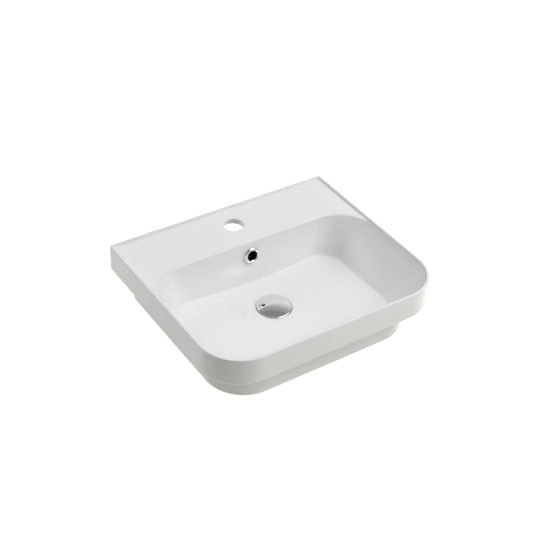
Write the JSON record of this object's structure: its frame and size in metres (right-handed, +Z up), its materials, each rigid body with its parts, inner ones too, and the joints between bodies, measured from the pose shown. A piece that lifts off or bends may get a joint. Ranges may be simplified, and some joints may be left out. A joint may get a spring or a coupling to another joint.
{
  "type": "inset basin",
  "caption": "Glazed ceramic inset basin with recessed tap deck, open tap hole, overflow with bright ring, and a slotted waste with a push-operated domed plug.",
  "frame": {"origin": "where the drain axis crosses the plane of the worktop's top face, which is the underside of the apron", "axes": "+X to the right seen from the front, +Y towards the wall, +Z up"},
  "size_m": [0.45, 0.38, 0.187],
  "materials": {
    "glaze": "gloss white glaze",
    "chrome": "polished plating",
    "rubber": "matt moulded",
    "white_plastic": "moulded",
    "brass": "machined",
    "spring_steel": "drawn wire"
  },
  "bodies": {
    "root": {"basin_rim": "glaze", "basin_bowl": "glaze", "basin_boss": "glaze", "basin_skirt": "glaze", "overflow_ring": "chrome", "overflow_gasket": "rubber", "waste_body": "chrome", "flange_seal": "rubber", "lower_seal": "rubber", "slip_washer": "white_plastic", "back_nut": "brass", "cartridge_body": "white_plastic", "cartridge_nut": "brass", "cartridge_cover": "white_plastic", "plug_spring": "spring_steel"},
    "plug": {"plug_cap": "chrome", "plug_carrier": "white_plastic", "plug_seal": "rubber", "lock_nut": "brass", "plug_stem": "brass"},
    "latch_ring": {"index_ring": "white_plastic"}
  },
  "joints": [
    {"name": "plug_lift", "type": "slide", "parent": "root", "child": "plug", "axis": [0, 0, 1], "range_m": [0, 0.009], "deforming": ["plug_spring"]},
    {"name": "latch_turn", "type": "hinge", "parent": "root", "child": "latch_ring", "pos_m": [0, 0, 0], "axis": [0, 0, 1], "range_deg": [0, 22.5]}
  ],
  "couplings": [
    {"joint": "latch_turn", "follows": "plug_lift", "rad_per_m": 43.6}
  ]
}
